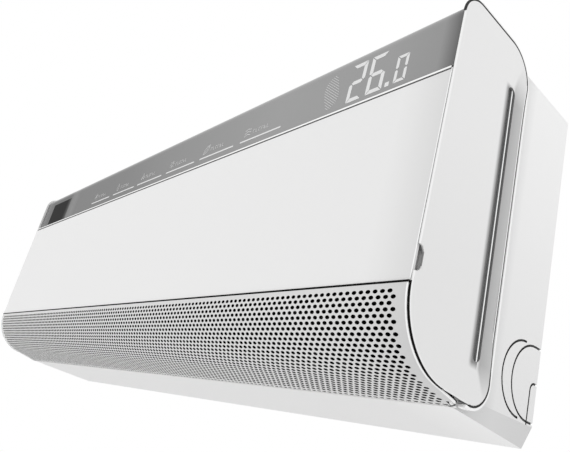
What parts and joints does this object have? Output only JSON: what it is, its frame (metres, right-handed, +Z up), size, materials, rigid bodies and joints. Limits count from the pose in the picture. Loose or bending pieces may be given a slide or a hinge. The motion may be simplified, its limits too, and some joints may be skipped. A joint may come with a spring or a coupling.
{
  "type": "mini split indoor unit",
  "caption": "Wall-hung indoor unit of a split air conditioner with lifting panel, swinging outlet deflector, vanes, fan and pull-out filters.",
  "frame": {"origin": "middle of the wall plate's four screw holes, on the wall face", "axes": "+X along the unit to the end with the motor, +Y into the wall, +Z up"},
  "size_m": [0.951, 0.196, 0.3281],
  "materials": {
    "white_plastic": "satin white moulded plastic",
    "inner_plastic": "plain pale grey moulding",
    "band_gloss": "glossy smoked grey",
    "window_gloss": "glossy dark",
    "dark_plastic": "dark moulded plastic",
    "fan_plastic": "black moulded fan",
    "filter_mesh": "fine grey mesh in a frame",
    "rubber": "soft black",
    "board": "circuit board",
    "fins": "thin bright fins",
    "copper": "bare copper tube",
    "steel": "zinc-plated sheet",
    "motor_steel": "plain motor shell"
  },
  "bodies": {
    "root": {"box_cover": "inner_plastic", "button_switch": "dark_plastic", "casing": "white_plastic", "casing_screws": "steel", "coil_end_plates": "steel", "control_board": "board", "control_box": "inner_plastic", "deflector_motor": "motor_steel", "drain_pan": "inner_plastic", "drain_spout": "inner_plastic", "fan_bearing": "rubber", "fan_motor": "motor_steel", "filter_frame": "inner_plastic", "front_coil": "fins", "gas_pipe": "copper", "left_cap_rim": "white_plastic", "left_end_cap": "white_plastic", "left_slot_grille": "dark_plastic", "liquid_pipe": "copper", "motor_clamp": "inner_plastic", "rear_chassis": "inner_plastic", "rear_coil": "fins", "return_bends": "copper", "right_cap_rim": "white_plastic", "right_end_cap": "white_plastic", "right_slot_grille": "dark_plastic", "terminal_block": "dark_plastic", "top_grille": "white_plastic", "upper_coil": "fins", "vane_motor": "motor_steel", "vane_rail": "inner_plastic", "wall_plate": "steel"},
    "fan": {"cross_flow_fan": "fan_plastic", "fan_shaft": "steel"},
    "panel": {"display_band": "band_gloss", "display_board": "board", "front_panel": "white_plastic", "panel_frame": "inner_plastic", "sensor_window": "window_gloss"},
    "deflector": {"deflector_frame": "inner_plastic", "deflector_skin": "white_plastic"},
    "left_filter": {"left_filter": "filter_mesh"},
    "right_filter": {"right_filter": "filter_mesh"},
    "button": {"service_button": "dark_plastic"},
    "vane_01": {"vane_01": "inner_plastic"},
    "vane_02": {"vane_02": "inner_plastic"},
    "vane_03": {"vane_03": "inner_plastic"},
    "vane_04": {"vane_04": "inner_plastic"},
    "vane_05": {"vane_05": "inner_plastic"},
    "vane_06": {"vane_06": "inner_plastic"},
    "vane_07": {"vane_07": "inner_plastic"},
    "vane_08": {"vane_08": "inner_plastic"},
    "vane_09": {"vane_09": "inner_plastic"},
    "vane_10": {"vane_10": "inner_plastic"},
    "vane_11": {"vane_11": "inner_plastic"},
    "vane_12": {"vane_12": "inner_plastic"},
    "tie_bar": {"vane_tie_bar": "inner_plastic"}
  },
  "joints": [
    {"name": "fan_spin", "type": "hinge", "parent": "root", "child": "fan", "pos_m": [0, -0.084, -0.039], "axis": [1, 0, 0], "continuous": true},
    {"name": "panel_lift", "type": "hinge", "parent": "root", "child": "panel", "pos_m": [0, -0.1803, 0.1195], "axis": [-1, 0, 0], "range_deg": [0, 60]},
    {"name": "deflector_swing", "type": "hinge", "parent": "root", "child": "deflector", "pos_m": [0, -0.1163, -0.17777], "axis": [1, 0, 0], "range_deg": [0, 75]},
    {"name": "left_filter_slide", "type": "slide", "parent": "root", "child": "left_filter", "axis": [0, 0, 1], "range_m": [0, 0.2]},
    {"name": "right_filter_slide", "type": "slide", "parent": "root", "child": "right_filter", "axis": [0, 0, 1], "range_m": [0, 0.2]},
    {"name": "button_press", "type": "slide", "parent": "root", "child": "button", "axis": [0, 1, 0], "range_m": [0, 0.002], "stiffness_N_per_m": 400, "springref_m": -0.001},
    {"name": "vane_01_swing", "type": "hinge", "parent": "root", "child": "vane_01", "pos_m": [-0.398, -0.08639, -0.13847], "axis": [0, -0.8181, 0.575], "range_deg": [-35, 35]},
    {"name": "vane_02_swing", "type": "hinge", "parent": "root", "child": "vane_02", "pos_m": [-0.33291, -0.08639, -0.13847], "axis": [0, -0.8181, 0.575], "range_deg": [-35, 35]},
    {"name": "vane_03_swing", "type": "hinge", "parent": "root", "child": "vane_03", "pos_m": [-0.26782, -0.08639, -0.13847], "axis": [0, -0.8181, 0.575], "range_deg": [-35, 35]},
    {"name": "vane_04_swing", "type": "hinge", "parent": "root", "child": "vane_04", "pos_m": [-0.20273, -0.08639, -0.13847], "axis": [0, -0.8181, 0.575], "range_deg": [-35, 35]},
    {"name": "vane_05_swing", "type": "hinge", "parent": "root", "child": "vane_05", "pos_m": [-0.13764, -0.08639, -0.13847], "axis": [0, -0.8181, 0.575], "range_deg": [-35, 35]},
    {"name": "vane_06_swing", "type": "hinge", "parent": "root", "child": "vane_06", "pos_m": [-0.07254, -0.08639, -0.13847], "axis": [0, -0.8181, 0.575], "range_deg": [-35, 35]},
    {"name": "vane_07_swing", "type": "hinge", "parent": "root", "child": "vane_07", "pos_m": [-0.00745, -0.08639, -0.13847], "axis": [0, -0.8181, 0.575], "range_deg": [-35, 35]},
    {"name": "vane_08_swing", "type": "hinge", "parent": "root", "child": "vane_08", "pos_m": [0.05764, -0.08639, -0.13847], "axis": [0, -0.8181, 0.575], "range_deg": [-35, 35]},
    {"name": "vane_09_swing", "type": "hinge", "parent": "root", "child": "vane_09", "pos_m": [0.12273, -0.08639, -0.13847], "axis": [0, -0.8181, 0.575], "range_deg": [-35, 35]},
    {"name": "vane_10_swing", "type": "hinge", "parent": "root", "child": "vane_10", "pos_m": [0.18782, -0.08639, -0.13847], "axis": [0, -0.8181, 0.575], "range_deg": [-35, 35]},
    {"name": "vane_11_swing", "type": "hinge", "parent": "root", "child": "vane_11", "pos_m": [0.25291, -0.08639, -0.13847], "axis": [0, -0.8181, 0.575], "range_deg": [-35, 35]},
    {"name": "vane_12_swing", "type": "hinge", "parent": "root", "child": "vane_12", "pos_m": [0.318, -0.08639, -0.13847], "axis": [0, -0.8181, 0.575], "range_deg": [-35, 35]},
    {"name": "tie_bar_slide", "type": "slide", "parent": "root", "child": "tie_bar", "axis": [1, 0, 0], "range_m": [-0.0105, 0.0105]}
  ],
  "couplings": [
    {"joint": "vane_02_swing", "follows": "vane_01_swing", "ratio": 1},
    {"joint": "vane_03_swing", "follows": "vane_01_swing", "ratio": 1},
    {"joint": "vane_04_swing", "follows": "vane_01_swing", "ratio": 1},
    {"joint": "vane_05_swing", "follows": "vane_01_swing", "ratio": 1},
    {"joint": "vane_06_swing", "follows": "vane_01_swing", "ratio": 1},
    {"joint": "vane_07_swing", "follows": "vane_01_swing", "ratio": 1},
    {"joint": "vane_08_swing", "follows": "vane_01_swing", "ratio": 1},
    {"joint": "vane_09_swing", "follows": "vane_01_swing", "ratio": 1},
    {"joint": "vane_10_swing", "follows": "vane_01_swing", "ratio": 1},
    {"joint": "vane_11_swing", "follows": "vane_01_swing", "ratio": 1},
    {"joint": "vane_12_swing", "follows": "vane_01_swing", "ratio": 1},
    {"joint": "tie_bar_slide", "follows": "vane_01_swing", "m_per_rad": 0.016901}
  ]
}
